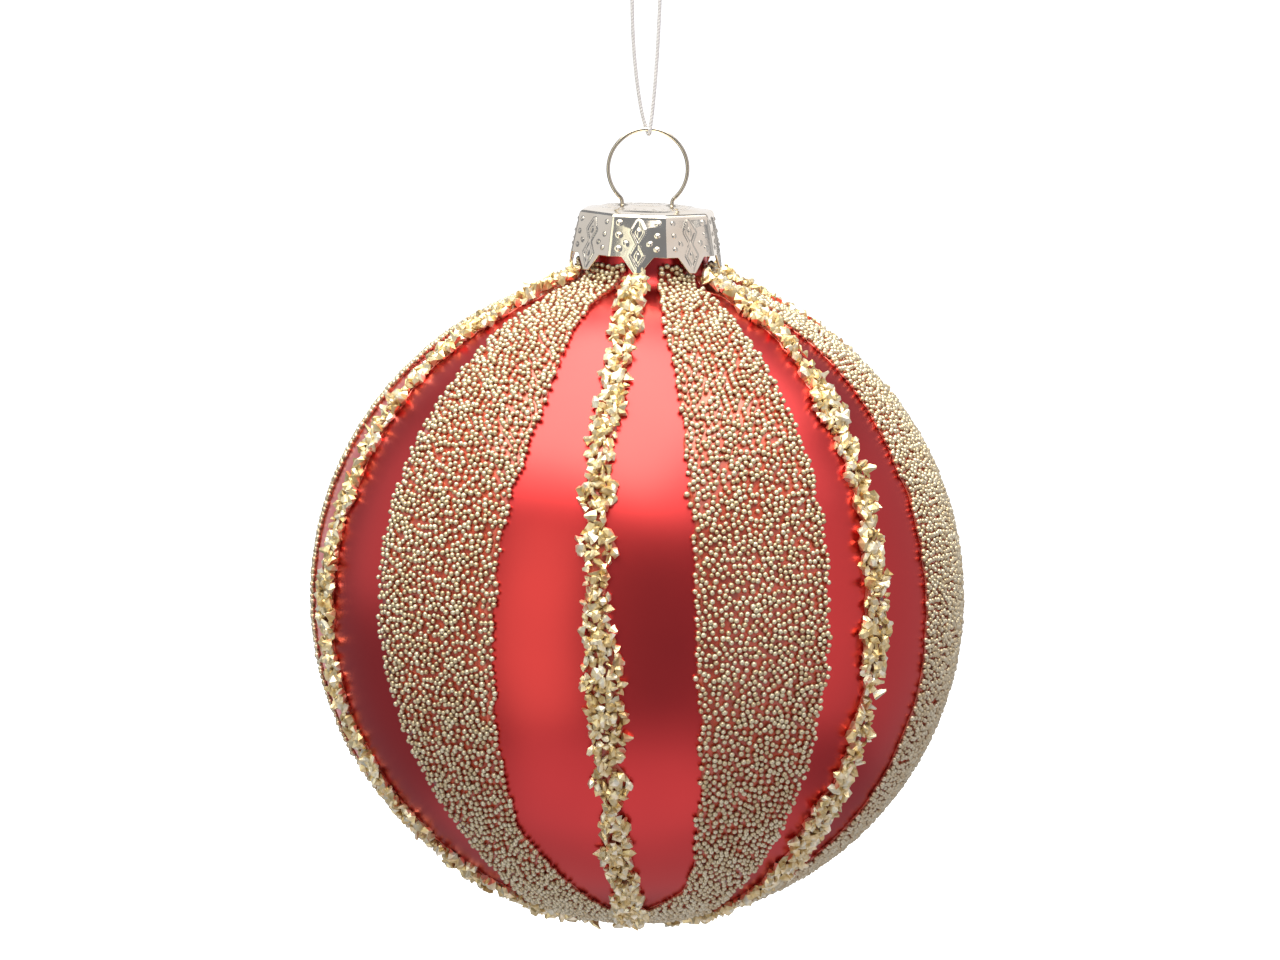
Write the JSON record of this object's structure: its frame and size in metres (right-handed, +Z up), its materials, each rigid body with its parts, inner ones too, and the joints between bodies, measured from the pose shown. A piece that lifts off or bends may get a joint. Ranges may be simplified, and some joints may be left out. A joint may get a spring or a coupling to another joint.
{
  "type": "glass ball ornament",
  "caption": "Hollow glass ball with bead stripes and chip lines, a notched metal cap, a wire ring with spring legs and a knotted hanging thread.",
  "frame": {"origin": "hang point: the inside of the thread loop's top, just under the knot", "axes": "+Z up, -Y towards the viewer, +X to the viewer's right; the ball's axis is the Z axis"},
  "size_m": [0.0814, 0.082, 0.1392],
  "materials": {
    "red_lacquered_glass": "satin lacquer, opaque",
    "cap_sheet": "bright pale champagne plating, stamped",
    "clip_wire": "bright pale gold wire",
    "thread": "white twisted thread",
    "clear_glue": "clear gloss over the red ball",
    "bead_glass": "champagne metallic glass microbeads",
    "chip_glass": "clear and gold glass chips"
  },
  "bodies": {
    "hang_thread": {"thread_loop": "thread", "thread_knot": "thread"},
    "clip": {"wire_clip": "clip_wire"},
    "cap": {"cap": "cap_sheet"},
    "ball": {"glass_ball": "red_lacquered_glass", "bead_glue_1": "clear_glue", "bead_glue_2": "clear_glue", "bead_glue_3": "clear_glue", "bead_glue_4": "clear_glue", "bead_glue_5": "clear_glue", "bead_glue_6": "clear_glue", "bead_stripe_1": "bead_glass", "bead_stripe_2": "bead_glass", "bead_stripe_3": "bead_glass", "bead_stripe_4": "bead_glass", "bead_stripe_5": "bead_glass", "bead_stripe_6": "bead_glass", "chip_glue_1": "clear_glue", "chip_glue_2": "clear_glue", "chip_glue_3": "clear_glue", "chip_glue_4": "clear_glue", "chip_glue_5": "clear_glue", "chip_glue_6": "clear_glue", "chip_line_1": "chip_glass", "chip_line_2": "chip_glass", "chip_line_3": "chip_glass", "chip_line_4": "chip_glass", "chip_line_5": "chip_glass", "chip_line_6": "chip_glass"}
  },
  "joints": [
    {"name": "thread_swing", "type": "hinge", "parent": "hang_thread", "child": "clip", "pos_m": [0, 0, -0.03563], "axis": [1, 0, 0], "range_deg": [-80, 80]},
    {"name": "clip_play", "type": "slide", "parent": "clip", "child": "cap", "axis": [0, 0, -1], "range_m": [0, 0.0015]},
    {"name": "cap_lift", "type": "slide", "parent": "cap", "child": "ball", "axis": [0, 0, -1], "range_m": [0, 0.03]}
  ]
}
